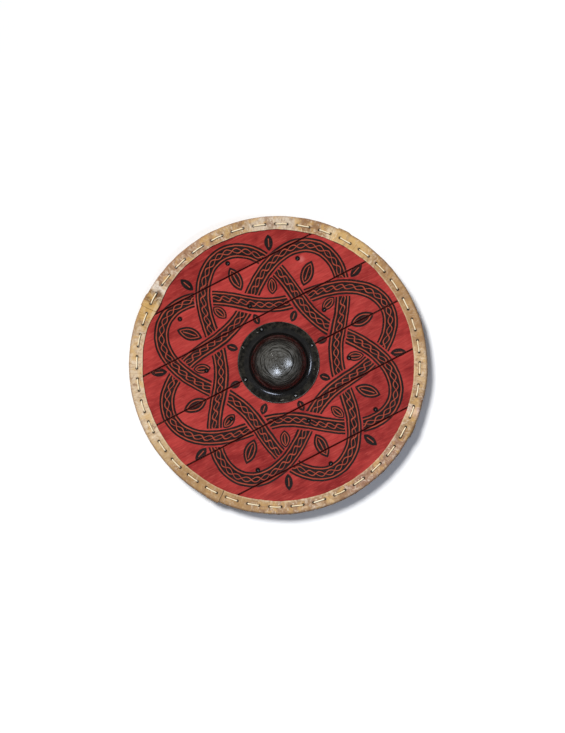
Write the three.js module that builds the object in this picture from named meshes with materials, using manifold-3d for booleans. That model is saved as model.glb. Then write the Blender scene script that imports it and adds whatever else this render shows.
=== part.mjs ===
// A wooden round shield that lies on the battens of its back, with the boss up.
// Six red planks lie side by side and are nailed from the front to a handle batten and two
// side battens. A domed steel boss covers the hand hole. Four strips of rawhide fold round the
// edge, each lapping over the start of the next, and one running lace sews them on.
// Millimetres. X runs along the planks, Y across them and Z up through the boss.
// The origin is the centre of the rim, on the surface that the shield lies on.
import * as THREE from "three";
import { mergeVertices } from "three/addons/utils/BufferGeometryUtils.js";
import Module from "manifold-3d";

const wasm = await Module();
wasm.setup();

// Driving dimensions: overall and clearances
const shieldDiameter = 610;
const fitGap = 0.3;
const cutPast = 1;
const rimSegments = 40;

// Driving dimensions: planks
const plankCount = 6;
const plankThickness = 13;
const plankPitch = 101.2;
const seamGap = 0.8;
const seamChamfer = 1;
const boardEdgeChamfer = 3;

// Driving dimensions: battens and handle
const battenThickness = 18;
const battenWidth = 38;
const battenChamfer = 2;
const sideBattenOffset = 135;
const battenFromHide = 12;
const gripWidth = 30;
const gripChamfer = 6;
const gripTaper = 22;

// Driving dimensions: boss and hand hole
const bossShift = new THREE.Vector2(3.5, 5.2);
const domeDiameter = 118;
const flangeWidth = 18.5;
const bossFillet = 6;
const bossHeight = 56;
const bossSheet = 2;
const bossSegments = 28;
const domeSteps = 5;
const filletSteps = 2;
const handHoleInset = 5;

// Driving dimensions: nails
const nailShaft = 3;
const nailHead = 8.6;
const nailHeadHeight = 2.6;
const nailSides = 6;
const headShoulder = 0.65;
const nailTipCover = 4;
const seamNailTipCover = 2;
const nailRowShift = 2.7;
const bossNailInset = 7.5;
const nailFromBoss = 47.8;
const nailFromHide = 47.8;
const sideNailInner = 55.3;
const sideNailFromHide = 69;

// Driving dimensions: rawhide edging
const hideThickness = 1.8;
const hideFlap = 27.5;
const hideStrips = 4;
const hideLap = 22;
const hideRamp = 8;
const stitchesBeforeX = 2;

// Driving dimensions: lacing
const laceWidth = 3;
const laceThickness = 2.2;
const laceClearance = 0.7;
const laceInset = 16.5;
const stitchPitch = 45.3;
const stitchLength = 24.3;
const firstStitchAngle = THREE.MathUtils.degToRad(-28.5);
const laceEndGap = 2;

// Worked out from the dimensions
const shieldRadius = shieldDiameter / 2;
const boardRadius = shieldRadius - hideThickness - fitGap;
const flapRadius = shieldRadius - hideFlap;
const plankBottom = battenThickness + fitGap;
const plankTop = plankBottom + plankThickness;
const bossBottom = plankTop + fitGap;
const bossDiameter = domeDiameter + 2 * (bossFillet + flangeWidth);
const handHole = domeDiameter - 2 * handHoleInset;
const laceRadius = shieldRadius - laceInset;
const stitchesPerStrip = Math.round((2 * Math.PI * laceRadius) / stitchPitch / hideStrips);
const stitchCount = stitchesPerStrip * hideStrips;
const stitchStep = (2 * Math.PI) / stitchCount;
const halfStitch = stitchLength / laceRadius / 2;
const fullLift = hideThickness + fitGap;
const rimStep = (2 * Math.PI) / rimSegments;

function material(color, roughness, metalness = 0) {
  return new THREE.MeshStandardMaterial({ color, roughness, metalness });
}

const redPaint = material(0xa4332e, 0.6);
const pine = material(0xb08a5c, 0.75);
const blackSteel = material(0x2e2d2b, 0.4, 0.9);
const rawhide = material(0xc9ab80, 0.6);
const thong = material(0xe6cfa0, 0.7);
const nailIron = material(0x1f1e1e, 0.45, 0.9);

// Booleans: a geometry becomes a manifold solid, and a solid becomes a geometry again
const weldDistance = 1e-4;

function solidOf(geometry) {
  const bare = new THREE.BufferGeometry();
  const source = geometry.index ? geometry.toNonIndexed() : geometry;
  bare.setAttribute("position", source.getAttribute("position"));
  const merged = mergeVertices(bare, weldDistance);
  return new wasm.Manifold(
    new wasm.Mesh({
      numProp: 3,
      vertProperties: merged.getAttribute("position").array,
      triVerts: new Uint32Array(merged.index.array),
    }),
  );
}

function geometryOf(solid) {
  const mesh = solid.getMesh();
  const geometry = new THREE.BufferGeometry();
  geometry.setAttribute("position", new THREE.BufferAttribute(mesh.vertProperties, 3));
  geometry.setIndex(new THREE.BufferAttribute(mesh.triVerts, 1));
  geometry.computeVertexNormals();
  return geometry;
}

// Basic shapes: a point on a circle, an upright prism, a turned profile and a lofted body
function polar(radius, angle, z = 0) {
  return new THREE.Vector3(radius * Math.cos(angle), radius * Math.sin(angle), z);
}

function prism(points, bottom, top) {
  const geometry = new THREE.ExtrudeGeometry(new THREE.Shape(points), {
    depth: top - bottom,
    bevelEnabled: false,
  });
  return geometry.translate(0, 0, bottom);
}

function turned(profile, segments) {
  const points = profile.map(([radius, height]) => new THREE.Vector2(radius, height));
  return new THREE.LatheGeometry(points, segments).rotateX(Math.PI / 2);
}

function loft(sections, outline) {
  const count = outline.length;
  const last = (sections.length - 1) * count;
  const positions = sections.flat().flatMap((point) => point.toArray());
  const faces = [];
  for (let i = 0; i < sections.length - 1; i++) {
    for (let j = 0; j < count; j++) {
      const a = i * count + j;
      const b = i * count + ((j + 1) % count);
      faces.push(a, b, b + count, a, b + count, a + count);
    }
  }
  for (const [a, b, c] of THREE.ShapeUtils.triangulateShape(outline, [])) {
    faces.push(a, c, b, last + a, last + b, last + c);
  }
  const geometry = new THREE.BufferGeometry();
  geometry.setAttribute("position", new THREE.Float32BufferAttribute(positions, 3));
  geometry.setIndex(faces);
  geometry.computeVertexNormals();
  return geometry;
}

// An upright square hole of this width, turned so that two of its sides face along the angle
function punched(centre, angle, width, bottom, top) {
  const corners = [1, 3, 5, 7].map((eighth) => {
    const corner = polar(width * Math.SQRT1_2, angle + (eighth * Math.PI) / 4).add(centre);
    return new THREE.Vector2(corner.x, corner.y);
  });
  return solidOf(prism(corners, bottom, top));
}

// Rim stitches: their angles, the lap of each strip's end, and the holes
function stitchCentre(index) {
  return firstStitchAngle + index * stitchStep;
}

function stripEnd(strip) {
  const before = stripStitch(strip + 1) - 1;
  return (stitchCentre(before) + stitchCentre(before + 1)) / 2;
}

function stripStitch(strip) {
  return strip * stitchesPerStrip - stitchesBeforeX;
}

function stripStart(strip) {
  return stripEnd(strip - 1) - hideLap / shieldRadius;
}

function lapStart(strip) {
  return stripStart(strip + 1) - fitGap / flapRadius;
}

function rampStart(strip) {
  return lapStart(strip) - hideRamp / shieldRadius;
}

function liftAt(strip, angle) {
  const share = (angle - rampStart(strip)) / (lapStart(strip) - rampStart(strip));
  return fullLift * THREE.MathUtils.clamp(share, 0, 1);
}

function liftOver(strip, from, to) {
  return from < stripEnd(strip) ? Math.max(liftAt(strip, from), liftAt(strip, to)) : 0;
}

function laceHoleAt(angle) {
  const width = laceWidth + 2 * laceClearance;
  const proud = 2 * fullLift + cutPast;
  return punched(polar(laceRadius, angle), angle, width, plankBottom - proud, plankTop + proud);
}

const stitchHoles = [];
for (let i = 0; i < stitchCount; i++) {
  stitchHoles.push(stitchCentre(i) - halfStitch, stitchCentre(i) + halfStitch);
}
const laceHoles = wasm.Manifold.union(stitchHoles.map(laceHoleAt));

// Nails: each has its place, the level its head sits on, and the level its tip ends at
function hideChord(x) {
  return Math.sqrt(flapRadius ** 2 - x ** 2);
}

const sideNailOuter = hideChord(sideBattenOffset) - sideNailFromHide;
const middleNailInner = bossDiameter / 2 + nailFromBoss;
const middleNailOuter = flapRadius - nailFromHide;

const plankNails = [];
for (const side of [1, -1]) {
  for (const row of [middleNailInner, middleNailOuter]) {
    plankNails.push({ x: bossShift.x, y: nailRowShift + side * row });
  }
  for (const across of [-1, 1]) {
    for (const row of [sideNailInner, sideNailOuter]) {
      plankNails.push({ x: across * sideBattenOffset, y: nailRowShift + side * row });
    }
  }
}
for (const nail of plankNails) {
  nail.seat = plankTop;
  nail.tip = nailTipCover;
}

const bossNails = [];
for (let quarter = 0; quarter < 4; quarter++) {
  const place = polar(bossDiameter / 2 - bossNailInset, (quarter * Math.PI) / 2);
  const overHandle = quarter % 2 === 1;
  bossNails.push({
    x: bossShift.x + place.x,
    y: bossShift.y + place.y,
    seat: bossBottom + bossSheet,
    tip: overHandle ? nailTipCover : plankBottom + seamNailTipCover,
  });
}

const nailHoles = wasm.Manifold.union(
  [...plankNails, ...bossNails].map(({ x, y, seat, tip }) =>
    punched(new THREE.Vector3(x, y, 0), 0, nailShaft + 2 * fitGap, tip - fitGap, seat + fitGap),
  ),
);

function nailGeometry({ seat, tip }) {
  const head = nailHead / 2;
  const base = seat + fitGap;
  return turned(
    [
      [0, tip],
      [nailShaft / 2, tip + nailShaft / 2],
      [nailShaft / 2, base],
      [head, base],
      [head * headShoulder, base + nailHeadHeight * (1 - headShoulder ** 2)],
      [0, base + nailHeadHeight],
    ],
    nailSides,
  );
}

// Planks: slices of one round board with chamfered edges, cut by the hand hole and the drilled holes
function roundBoard() {
  const inner = boardRadius - boardEdgeChamfer;
  return solidOf(
    turned(
      [
        [0, plankBottom],
        [inner, plankBottom],
        [boardRadius, plankBottom + boardEdgeChamfer],
        [boardRadius, plankTop - boardEdgeChamfer],
        [inner, plankTop],
        [0, plankTop],
      ],
      rimSegments,
    ),
  );
}

function plankSlab(low, high) {
  const section = [
    [low, plankBottom],
    [high, plankBottom],
    [high, plankTop - seamChamfer],
    [high - seamChamfer, plankTop],
    [low + seamChamfer, plankTop],
    [low, plankTop - seamChamfer],
  ];
  const ends = [-shieldRadius, shieldRadius].map((x) => section.map(([y, z]) => new THREE.Vector3(x, y, z)));
  return solidOf(loft(ends, section.map(([y, z]) => new THREE.Vector2(y, z))));
}

function chamferedRectangle(width, height, chamfer) {
  const x = width / 2;
  const y = height / 2;
  return [
    [x, chamfer - y],
    [x, y - chamfer],
    [x - chamfer, y],
    [chamfer - x, y],
    [-x, y - chamfer],
    [-x, chamfer - y],
    [chamfer - x, -y],
    [x - chamfer, -y],
  ].map(([a, b]) => new THREE.Vector2(a, b));
}

function seamPlaces() {
  const places = [];
  for (let i = 1; i < plankCount; i++) {
    places.push(bossShift.y + (i - plankCount / 2) * plankPitch);
  }
  return places;
}

function planks() {
  const bottom = plankBottom - cutPast;
  const top = plankTop + cutPast;
  const handCut = turned(
    [[0, bottom], [handHole / 2, bottom], [handHole / 2, top], [0, top]],
    bossSegments,
  ).translate(bossShift.x, bossShift.y, 0);
  const board = roundBoard().subtract(solidOf(handCut)).subtract(laceHoles).subtract(nailHoles);
  const seams = seamPlaces();
  const lows = [-shieldRadius, ...seams.map((y) => y + seamGap / 2)];
  const highs = [...seams.map((y) => y - seamGap / 2), shieldRadius];
  return lows.map((low, i) => board.intersect(plankSlab(low, highs[i])));
}

// Battens: bars with chamfered corners. The handle narrows to a rounded grip under the boss
function batten(x, halfLength, grip) {
  const stations = [[-halfLength, 0], [halfLength, 0]];
  if (grip) {
    const half = handHole / 2;
    const middle = bossShift.y - nailRowShift;
    stations.splice(
      1,
      0,
      [middle - half, 0],
      [middle - half + gripTaper, 1],
      [middle + half - gripTaper, 1],
      [middle + half, 0],
    );
  }
  const lerp = THREE.MathUtils.lerp;
  const sections = stations.map(([y, share]) =>
    chamferedRectangle(
      lerp(battenWidth, gripWidth, share),
      battenThickness,
      lerp(battenChamfer, gripChamfer, share),
    ).map((p) => new THREE.Vector3(x - p.x, nailRowShift + y, battenThickness / 2 + p.y)),
  );
  const outline = chamferedRectangle(battenWidth, battenThickness, battenChamfer);
  return solidOf(loft(sections, outline)).subtract(nailHoles);
}

// Boss: a domed sheet with a concave fillet and a flat flange
function bossSolid() {
  const dome = domeDiameter / 2;
  const shoulder = bossSheet + bossFillet;
  const wall = (outer) => {
    const inset = outer ? 0 : bossSheet;
    const points = [];
    for (let i = 0; i <= domeSteps; i++) {
      const angle = (Math.PI / 2) * (1 - i / domeSteps);
      const radius = (dome - inset) * Math.cos(angle);
      const rise = (bossHeight - shoulder - inset) * Math.sin(angle);
      points.push([i ? radius : 0, bossBottom + shoulder + rise]);
    }
    for (let i = 1; i <= filletSteps; i++) {
      const angle = Math.PI + (Math.PI / 2) * (i / filletSteps);
      const reach = bossFillet + inset;
      points.push([
        dome + bossFillet + reach * Math.cos(angle),
        bossBottom + shoulder + reach * Math.sin(angle),
      ]);
    }
    points.push([bossDiameter / 2, bossBottom + bossSheet - inset]);
    return points;
  };
  const profile = [...wall(false), ...wall(true).reverse()];
  const shell = turned(profile, bossSegments).translate(bossShift.x, bossShift.y, 0);
  return solidOf(shell).subtract(nailHoles);
}

// Rawhide: a strip folded over the board's edge, lifted where its end laps over the next strip
function hideSection(lift) {
  const inner = fitGap + lift;
  const outer = inner + hideThickness;
  const side = (thickness) => {
    const radius = boardRadius + thickness;
    const corner = boardEdgeChamfer + thickness * (2 - Math.SQRT2);
    return [
      [flapRadius, plankTop + thickness],
      [radius - corner, plankTop + thickness],
      [radius, plankTop + thickness - corner],
      [radius, plankBottom - thickness + corner],
      [radius - corner, plankBottom - thickness],
      [flapRadius, plankBottom - thickness],
    ];
  };
  return [...side(outer), ...side(inner).reverse()];
}

function hideStrip(strip) {
  const start = stripStart(strip);
  const end = stripEnd(strip);
  const stations = [start, rampStart(strip), lapStart(strip), end];
  for (let i = Math.ceil(start / rimStep); i * rimStep < end; i++) {
    stations.push(i * rimStep);
  }
  stations.sort((a, b) => a - b);
  const sections = stations.map((angle) =>
    hideSection(liftAt(strip, angle)).map(([radius, z]) => polar(radius * facetShare(angle), angle, z)),
  );
  const outline = hideSection(0).map(([radius, z]) => new THREE.Vector2(z, radius));
  return solidOf(loft(sections, outline)).subtract(laceHoles);
}

// Between two corners of the many-sided board, its flats lie nearer the centre than its corners
function facetShare(angle) {
  const fromCorner = angle - Math.floor(angle / rimStep) * rimStep;
  return Math.cos(rimStep / 2) / Math.cos(fromCorner - rimStep / 2);
}

// Lacing: one thong that runs along the front for a stitch, dives, and runs along the back.
// Its two ends meet on the back
function laceCorner(angle, level, side) {
  const half = laceThickness / 2;
  const turn = half / laceRadius;
  const inner = laceRadius - laceWidth / 2;
  const outer = laceRadius + laceWidth / 2;
  return [
    polar(inner, angle + side * turn, level + half),
    polar(outer, angle + side * turn, level + half),
    polar(outer, angle - side * turn, level - half),
    polar(inner, angle - side * turn, level - half),
  ];
}

function stripOf(stitch) {
  return Math.floor((stitch - stripStitch(0)) / stitchesPerStrip);
}

function backLevel(stitch) {
  const strip = stripOf(stitch);
  const from = stitchCentre(stitch) + halfStitch;
  const to = Math.min(stitchCentre(stitch + 1) - halfStitch, stripEnd(strip));
  const flat = plankBottom - fitGap - hideThickness - fitGap - laceThickness / 2;
  return flat - liftOver(strip, from, to);
}

function frontLevel(stitch) {
  const from = stitchCentre(stitch) - halfStitch;
  const to = stitchCentre(stitch) + halfStitch;
  const flat = plankTop + fitGap + hideThickness + fitGap + laceThickness / 2;
  return flat + liftOver(stripOf(stitch), from, to);
}

function lacingGeometry() {
  const cut = stitchCentre(-0.5);
  const halfGap = laceEndGap / laceRadius / 2;
  const sections = [laceCorner(cut + halfGap, backLevel(-1), 0)];
  for (let i = 0; i < stitchCount; i++) {
    const from = stitchCentre(i) - halfStitch;
    const to = stitchCentre(i) + halfStitch;
    sections.push(laceCorner(from, backLevel(i - 1), -1));
    sections.push(laceCorner(from, frontLevel(i), -1));
    sections.push(laceCorner(to, frontLevel(i), 1));
    sections.push(laceCorner(to, backLevel(i), 1));
  }
  sections.push(laceCorner(cut - halfGap, backLevel(-1), 0));
  const outline = [[1, -1], [1, 1], [-1, 1], [-1, -1]].map(([z, out]) => new THREE.Vector2(z, out));
  return loft(sections, outline);
}

// The shield: one named mesh for each separate piece
const shield = new THREE.Group();

function addPiece(name, geometry, look) {
  const mesh = new THREE.Mesh(geometry, look);
  mesh.name = name;
  shield.add(mesh);
  return mesh;
}

planks().forEach((plank, i) => addPiece(`plank_${i + 1}`, geometryOf(plank), redPaint));

const sideHalf = hideChord(sideBattenOffset + battenWidth / 2) - battenFromHide;
addPiece("batten_left", geometryOf(batten(-sideBattenOffset, sideHalf, false)), pine);
addPiece("batten_right", geometryOf(batten(sideBattenOffset, sideHalf, false)), pine);
const handleHalf = hideChord(bossShift.x + battenWidth / 2) - battenFromHide;
addPiece("handle_batten", geometryOf(batten(bossShift.x, handleHalf, true)), pine);

addPiece("boss", geometryOf(bossSolid()), blackSteel);

for (let strip = 0; strip < hideStrips; strip++) {
  addPiece(`rawhide_strip_${strip + 1}`, geometryOf(hideStrip(strip)), rawhide);
}

addPiece("lacing", lacingGeometry(), thong);

plankNails.forEach((nail, i) => {
  addPiece(`plank_nail_${i + 1}`, nailGeometry(nail), nailIron).position.set(nail.x, nail.y, 0);
});
bossNails.forEach((nail, i) => {
  addPiece(`boss_nail_${i + 1}`, nailGeometry(nail), nailIron).position.set(nail.x, nail.y, 0);
});

export default shield;
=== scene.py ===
# A wooden round shield, lying on its battens with the boss up, in metres.
import math
from functools import reduce

import bmesh
import bpy
import numpy as np
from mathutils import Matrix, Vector


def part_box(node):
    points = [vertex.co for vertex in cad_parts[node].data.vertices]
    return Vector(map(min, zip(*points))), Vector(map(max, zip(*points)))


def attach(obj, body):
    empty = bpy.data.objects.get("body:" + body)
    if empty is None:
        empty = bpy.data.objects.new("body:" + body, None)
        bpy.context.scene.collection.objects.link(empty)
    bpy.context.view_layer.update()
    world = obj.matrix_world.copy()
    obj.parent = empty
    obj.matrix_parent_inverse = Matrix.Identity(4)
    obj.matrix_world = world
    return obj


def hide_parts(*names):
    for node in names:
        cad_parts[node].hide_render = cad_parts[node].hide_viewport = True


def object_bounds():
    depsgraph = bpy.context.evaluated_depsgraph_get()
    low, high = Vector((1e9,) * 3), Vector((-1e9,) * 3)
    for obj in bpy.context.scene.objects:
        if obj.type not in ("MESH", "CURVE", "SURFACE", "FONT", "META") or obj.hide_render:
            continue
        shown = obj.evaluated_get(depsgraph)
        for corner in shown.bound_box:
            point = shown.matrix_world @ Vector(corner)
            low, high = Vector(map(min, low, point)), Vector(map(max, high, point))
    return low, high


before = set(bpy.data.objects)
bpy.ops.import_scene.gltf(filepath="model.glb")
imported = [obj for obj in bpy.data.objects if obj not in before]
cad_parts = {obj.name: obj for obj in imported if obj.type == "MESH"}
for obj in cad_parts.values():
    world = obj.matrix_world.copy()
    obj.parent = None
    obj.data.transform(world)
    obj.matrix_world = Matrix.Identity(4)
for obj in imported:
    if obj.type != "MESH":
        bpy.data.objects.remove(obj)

CAD_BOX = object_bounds()
MM = 0.001
TURN = 2 * math.pi

# Levels and places taken from the frame
PLANK_COUNT = 6
PLANK_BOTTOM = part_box("plank_1")[0].z
PLANK_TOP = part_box("plank_1")[1].z
SHIELD_RADIUS = (CAD_BOX[1][0] - CAD_BOX[0][0]) / 2
BOSS_LOW, BOSS_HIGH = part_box("boss")
BOSS_CENTRE = (BOSS_LOW + BOSS_HIGH) / 2
BOSS_RADIUS = (BOSS_HIGH.x - BOSS_LOW.x) / 2
PLANK_NAILS = [f"plank_nail_{i + 1}" for i in range(12)]
BOSS_NAILS = [f"boss_nail_{i + 1}" for i in range(4)]
NAIL_PLACES = [sum(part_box(name), Vector()) / 2 / MM for name in PLANK_NAILS]

# Sizes shared with the solids
FIT_GAP = 0.3 * MM
HIDE_THICKNESS = 1.8 * MM
HIDE_FLAP = 27.5 * MM
HIDE_STRIPS = 4
HIDE_LAP = 22 * MM
HIDE_RAMP = 8 * MM
STITCHES_BEFORE_X = 2
STITCH_COUNT = 40
STITCH_LENGTH = 24.3 * MM
FIRST_STITCH = math.radians(-28.5)
LACE_INSET = 16.5 * MM
LACE_END_GAP = 2 * MM
DOME_RADIUS = 59 * MM
BOSS_FILLET = 6 * MM
BOSS_SHEET = 2 * MM
HAND_HOLE_RADIUS = 54 * MM

BOARD_RADIUS = SHIELD_RADIUS - HIDE_THICKNESS - FIT_GAP
FLAP_RADIUS = SHIELD_RADIUS - HIDE_FLAP
LACE_RADIUS = SHIELD_RADIUS - LACE_INSET
STITCH_STEP = TURN / STITCH_COUNT
HALF_STITCH = STITCH_LENGTH / LACE_RADIUS / 2
STITCHES_PER_STRIP = STITCH_COUNT // HIDE_STRIPS
FULL_LIFT = HIDE_THICKNESS + FIT_GAP

# Sizes of the finish
HOLE_RADIUS = 2.2 * MM
LACE_THICK = 1.3 * MM
LACE_THIN = 1.05 * MM
SEAM_ROUND = 2.5 * MM


def linear(*screen):
    """The shader's linear light for a colour that is written as it shows on a screen."""
    shares = [value / 255 for value in screen]
    light = [s / 12.92 if s <= 0.04045 else ((s + 0.055) / 1.055) ** 2.4 for s in shares]
    return (*light, 1)


def arithmetic(operation, swapped=False):
    """A method of fields that makes one Math node."""
    def apply(self, *others):
        values = (self, *others)[::-1] if swapped else (self, *others)
        made = self.graph.node("Math", enumerate(values), operation=operation)
        return Field(self.graph, made.outputs[0])

    return apply


class Field:
    """A number that varies over a surface. Sums and products of fields become Math nodes."""

    def __init__(self, graph, socket):
        self.graph = graph
        self.socket = socket

    __add__ = arithmetic("ADD")
    __sub__ = arithmetic("SUBTRACT")
    __rsub__ = arithmetic("SUBTRACT", swapped=True)
    __mul__ = arithmetic("MULTIPLY")
    __truediv__ = arithmetic("DIVIDE")
    __abs__ = arithmetic("ABSOLUTE")
    root = arithmetic("SQRT")
    sine = arithmetic("SINE")
    cosine = arithmetic("COSINE")
    direction = arithmetic("ARCTAN2")
    rounded = arithmetic("ROUND")
    folded = arithmetic("PINGPONG")
    below = arithmetic("LESS_THAN")
    smaller = arithmetic("MINIMUM")
    larger = arithmetic("MAXIMUM")

    def ramp(self, low, high, bottom=0, top=1, smooth=False):
        """Goes from bottom to top while the field goes from low to high, and no further."""
        made = self.graph.node(
            "MapRange",
            {"Value": self, "From Min": low, "From Max": high, "To Min": bottom, "To Max": top},
            clamp=True,
            interpolation_type="SMOOTHSTEP" if smooth else "LINEAR",
        )
        return Field(self.graph, made.outputs["Result"])


class Graph:
    """The node graph of one material."""

    def __init__(self, name):
        self.material = bpy.data.materials.new(name)
        self.material.use_nodes = True
        self.tree = self.material.node_tree
        self.tree.nodes.clear()

    def node(self, kind, inputs=(), **settings):
        """A node with its settings, and with values or links in its inputs."""
        made = self.tree.nodes.new("ShaderNode" + kind)
        for name, value in settings.items():
            setattr(made, name, value)
        for name, value in dict(inputs).items():
            self.feed(made.inputs[name], value)
        return made

    def feed(self, socket, value):
        if isinstance(value, Field):
            value = value.socket
        if isinstance(value, bpy.types.NodeSocket):
            self.tree.links.new(value, socket)
        else:
            socket.default_value = value

    def position(self):
        """The place in the object's frame in millimetres, as one socket and as x, y and z."""
        inputs = {"Vector": self.node("TexCoord").outputs["Object"], "Scale": 1 / MM}
        place = self.node("VectorMath", inputs, operation="SCALE").outputs[0]
        parts = self.node("SeparateXYZ", {"Vector": place}).outputs
        return place, *(Field(self, part) for part in parts)

    def vector(self, place):
        """A place as one socket, also where it is given as three numbers or fields."""
        if isinstance(place, bpy.types.NodeSocket):
            return place
        return self.node("CombineXYZ", enumerate(place)).outputs[0]

    def noise(self, place, scale, detail=3, roughness=0.55, distortion=0):
        """Smooth noise from 0 to 1. The scale is one over its size in the place's units."""
        inputs = {"Vector": self.vector(place), "Scale": scale, "Detail": detail}
        inputs.update({"Roughness": roughness, "Distortion": distortion})
        return Field(self, self.node("TexNoise", inputs).outputs[0])

    def cells(self, place, scale):
        """How far a place is from the nearest of many scattered points."""
        inputs = {"Vector": self.vector(place), "Scale": scale}
        return Field(self, self.node("TexVoronoi", inputs).outputs["Distance"])

    def attribute(self, name):
        made = self.node("Attribute", attribute_name=name)
        return Field(self, made.outputs["Fac"])

    def blend(self, share, first, second):
        """The first colour where the share is 0, and the second where it is 1."""
        inputs = {0: share, 6: first, 7: second}
        return self.node("Mix", inputs, data_type="RGBA").outputs[2]

    def layers(self, color, *coats):
        """Coats over a colour, each given as the share that it covers and its own colour."""
        for share, *tint in coats:
            color = self.blend(share, color, linear(*tint))
        return color

    def bump(self, height, strength=0.8, distance=MM):
        """A height field in millimetres makes the normal."""
        inputs = {"Height": height, "Distance": distance, "Strength": strength}
        return self.node("Bump", inputs).outputs[0]

    def finish(self, color, roughness, **inputs):
        shader = self.node("BsdfPrincipled", {"Base Color": color, "Roughness": roughness})
        for name, value in inputs.items():
            self.feed(shader.inputs[name.replace("_", " ")], value)
        self.node("OutputMaterial", {"Surface": shader.outputs[0]})
        return self.material


# The painted ornament: a three-strand plait round the boss, with leaves in its gaps, in millimetres
LEADS = 3
BIGHTS = 8
KNOT_RADIUS = 174
KNOT_SWING = 65
KNOT_POINT = 0.14
BAND_HALF = 15.5
BAND_LINE = 10.4
LINE_HALF = 1.15
FINE_LINE_HALF = 0.92
CHAIN_SWING = 4.6
CHAIN_WAVES = 104
CHAIN_EVEN = (0.114, -0.027)
CROSSING_GAP = 3.2
PAINT_EDGE = 0.35
BRUSH_WOBBLE = 4

# Leaves: the share of a step that each ring of leaves is turned, its radius, half length and half width
LEAVES = [
    (0.5, 245, 17, 8.5),
    (0, 99.5, 12, 7.5),
    (0, 191, 27, 13.5),
    (0.5, 157, 18, 10.5),
]
OUTLINED_LEAF = 10


class Ornament:
    """Where the black paint and its fine red lines lie, as fields from 0 to 1."""

    def __init__(self, graph, x, y):
        wobble_x = graph.noise((x, y, 3), 0.03, 4, 0.6) - 0.5
        wobble_y = graph.noise((x, y, 47), 0.03, 4, 0.6) - 0.5
        moved_x = x + wobble_x * BRUSH_WOBBLE - BOSS_CENTRE.x / MM
        moved_y = y + wobble_y * BRUSH_WOBBLE - BOSS_CENTRE.y / MM
        self.radius, self.angle = polar(moved_x, moved_y)

    def inside(self, distance, limit):
        """1 where the distance is under the limit, with a painted edge between."""
        return distance.ramp(limit + PAINT_EDGE, limit - PAINT_EDGE)

    def strands(self):
        """The body and the lines of each strand, cut back where it passes beneath another."""
        strands = []
        clear = []
        for lead in range(LEADS):
            travel = self.angle + TURN * lead
            phase = travel * (BIGHTS / LEADS)
            sine = phase.sine()
            second = (phase * 2).sine()
            swing = phase.cosine() + (phase * 2).cosine() * KNOT_POINT
            slope = (sine + second * (2 * KNOT_POINT)) * (-KNOT_SWING * BIGHTS / LEADS)
            lean = slope / self.radius
            offset = (self.radius - swing * KNOT_SWING - KNOT_RADIUS) / (lean * lean + 1).root()
            away = abs(offset)
            body = self.inside(away, BAND_HALF)
            border = self.inside(abs(away - BAND_LINE), LINE_HALF)
            evened = travel + sine * CHAIN_EVEN[0] + second * CHAIN_EVEN[1]
            weave = (evened * (CHAIN_WAVES / LEADS)).sine() * CHAIN_SWING
            chain = abs(offset - weave).smaller(abs(offset + weave))
            lines = body * border.larger(self.inside(chain, FINE_LINE_HALF))
            beneath = (slope * (KNOT_RADIUS - self.radius)).below(0)
            strands.append((body, lines, beneath))
            clear.append(self.inside(away, BAND_HALF + CROSSING_GAP) * (1 - beneath))
        covered = reduce(Field.larger, clear)
        shown = [1 - beneath * covered for _, _, beneath in strands]
        return [(body * share, lines * share) for (body, lines, _), share in zip(strands, shown)]

    def petal(self, shift, radius, half_length, half_width):
        """Pointed leaves set evenly on a circle."""
        turned = self.angle * (BIGHTS / TURN) + shift
        across = abs((turned - turned.rounded()) * self.radius * (TURN / BIGHTS))
        along = self.radius - radius
        arc_radius = (half_length**2 + half_width**2) / (2 * half_width)
        side = across + (arc_radius - half_width)
        away = (side * side + along * along).root()
        leaf = self.inside(away, arc_radius)
        vein = self.inside(across, FINE_LINE_HALF) * self.inside(abs(along), half_length * 0.5)
        if half_width < OUTLINED_LEAF:
            return leaf, vein
        outline = self.inside(abs(away - (arc_radius - half_width * 0.38)), FINE_LINE_HALF)
        return leaf, vein.larger(outline)

    def build(self):
        bodies, lines = zip(*self.strands(), *(self.petal(*leaf) for leaf in LEAVES))
        return reduce(Field.larger, bodies), reduce(Field.larger, lines)


def polar(x, y):
    return (x * x + y * y).root(), y.direction(x)


def square_distance(x, y, place):
    from_x = x - place[0]
    from_y = y - place[1]
    return from_x * from_x + from_y * from_y


def grain(graph, x, y, z, shift):
    """Growth rings cut lengthwise, as broad figure and as fine fibres, all from 0 to 1."""
    lengthwise = graph.vector((x * 0.035 + shift * 57, y + shift * 31, z * 1.6))
    bend = graph.noise(lengthwise, 0.018, 2) * 60
    spread = graph.noise((x * 0.01 + shift * 23, y, z), 0.05, 2) * 30
    rings = ((y + bend + spread + shift * 91) * 0.8).sine()
    figure = graph.noise(lengthwise, 0.11, 4, 0.6, 0.6)
    fibres = graph.noise((x * 0.03 + shift * 11, y, z), 1.3, 3, 0.7)
    return rings * 0.5 + 0.5, figure, fibres


# Pale blooms in the paint: the place and size in millimetres, and the strength
PALE_BLOOMS = [((141, 171), 9, 0.5), ((-96, 190), 6, 0.4)]


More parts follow.
